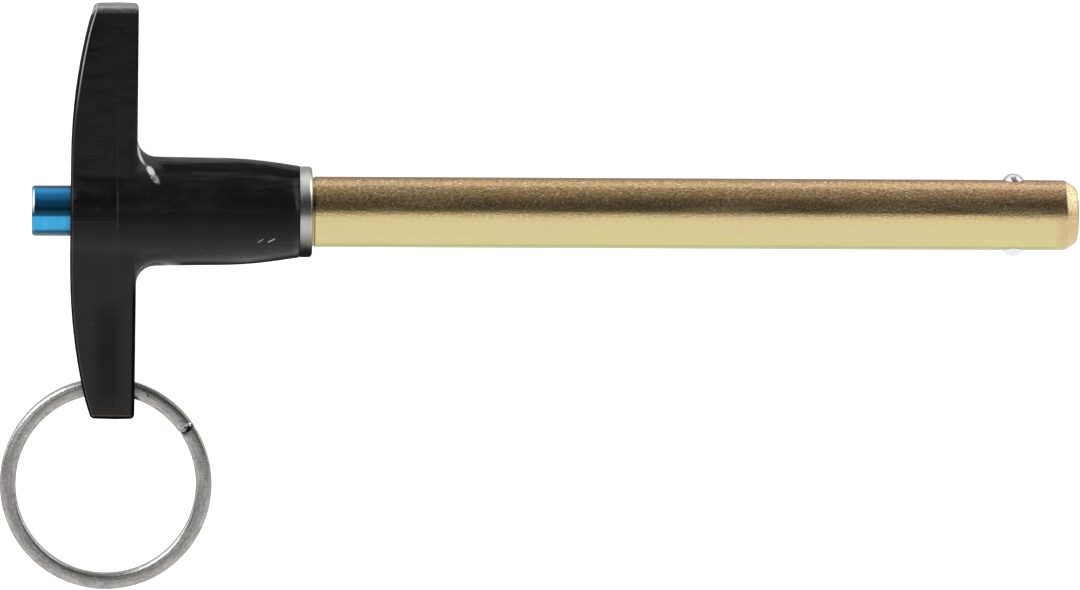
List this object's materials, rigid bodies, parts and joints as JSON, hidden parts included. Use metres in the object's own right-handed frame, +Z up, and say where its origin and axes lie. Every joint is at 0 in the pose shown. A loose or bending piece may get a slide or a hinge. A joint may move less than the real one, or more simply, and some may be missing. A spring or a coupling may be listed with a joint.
{
  "type": "ball lock pin",
  "caption": "Quick-release pin with a T handle, a straight shank with locking balls near its tip, a push button that frees them, and a split ring for a lanyard.",
  "frame": {"origin": "on the pin's axis, in the plane of the shoulder that stops it against a panel", "axes": "+X along the shank towards its tip, +Z up with the pin lying on its side"},
  "size_m": [0.1447, 0.0789, 0.0148],
  "materials": {
    "handle_plastic": "black glass-filled nylon with a moulded satin skin and light handling marks",
    "collar_steel": "turned steel, left bare, with fine turning lines",
    "plated_shank": "zinc plated and yellow passivated steel over a ground surface, with a faint rainbow",
    "inner_steel": "bright stainless steel",
    "anodised_button": "turned aluminium, anodised blue",
    "ball_steel": "polished bearing steel",
    "ring_steel": "nickel plated spring steel, tumbled and slightly dull"
  },
  "bodies": {
    "pin": {"handle": "handle_plastic", "collar": "collar_steel", "shank": "plated_shank", "spring": "inner_steel"},
    "plunger": {"spindle": "inner_steel", "button": "anodised_button"},
    "ball_1": {"locking_ball_1": "ball_steel"},
    "ball_2": {"locking_ball_2": "ball_steel"},
    "ring": {"split_ring": "ring_steel"}
  },
  "joints": [
    {"name": "button_press", "type": "slide", "parent": "pin", "child": "plunger", "axis": [1, 0, 0], "range_m": [0, 0.003], "stiffness_N_per_m": 570, "springref_m": -0.005, "deforming": ["spring"]},
    {"name": "ball_1_retract", "type": "slide", "parent": "pin", "child": "ball_1", "axis": [0, -1, 0], "range_m": [0, 0.00096]},
    {"name": "ball_2_retract", "type": "slide", "parent": "pin", "child": "ball_2", "axis": [0, 1, 0], "range_m": [0, 0.00096]},
    {"name": "ring_swing", "type": "hinge", "parent": "pin", "child": "ring", "pos_m": [-0.028, -0.02341, -0.00371], "axis": [1, 0, 0], "range_deg": [-146, 153]}
  ],
  "couplings": [
    {"joint": "ball_1_retract", "follows": "button_press", "ratio": 0.32},
    {"joint": "ball_2_retract", "follows": "button_press", "ratio": 0.32}
  ]
}
